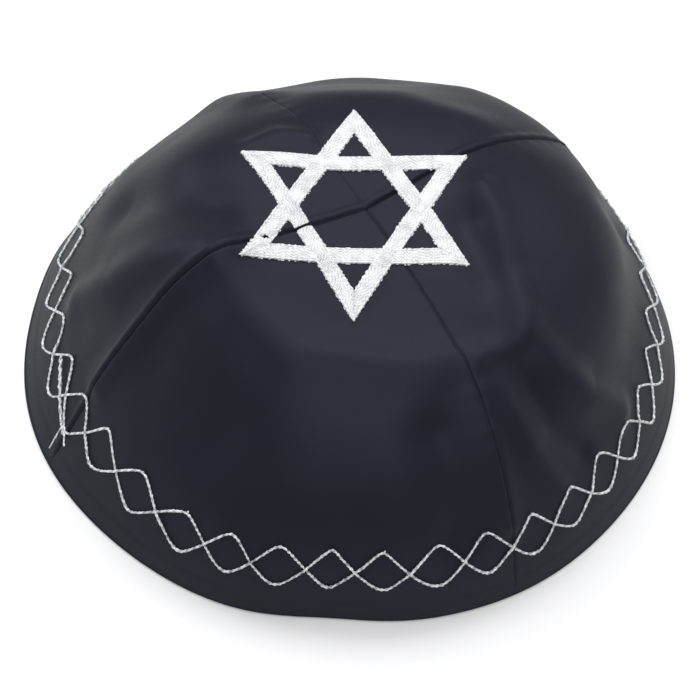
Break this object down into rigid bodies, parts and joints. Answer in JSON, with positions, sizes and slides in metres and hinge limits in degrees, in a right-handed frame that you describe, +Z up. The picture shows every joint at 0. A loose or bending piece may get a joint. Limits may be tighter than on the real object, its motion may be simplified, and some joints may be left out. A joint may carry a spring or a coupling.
{
  "type": "kippah",
  "caption": "Low four-panel satin skullcap with a turned hem and a six-pointed star embroidered over its crown.",
  "frame": {"origin": "middle of the rim, on the surface that the cap rests on", "axes": "+Z up through the crown, -Y towards the front panel, +X to the wearer's left and the cap's widest way"},
  "size_m": [0.176, 0.1628, 0.0635],
  "materials": {
    "satin": "very dark navy satin with a soft violet sheen",
    "silver_thread": "silver-white lustrous embroidery thread"
  },
  "bodies": {
    "root": {"gore_front": "satin", "gore_right": "satin", "gore_back": "satin", "gore_left": "satin", "star_embroidery": "silver_thread"}
  },
  "joints": []
}
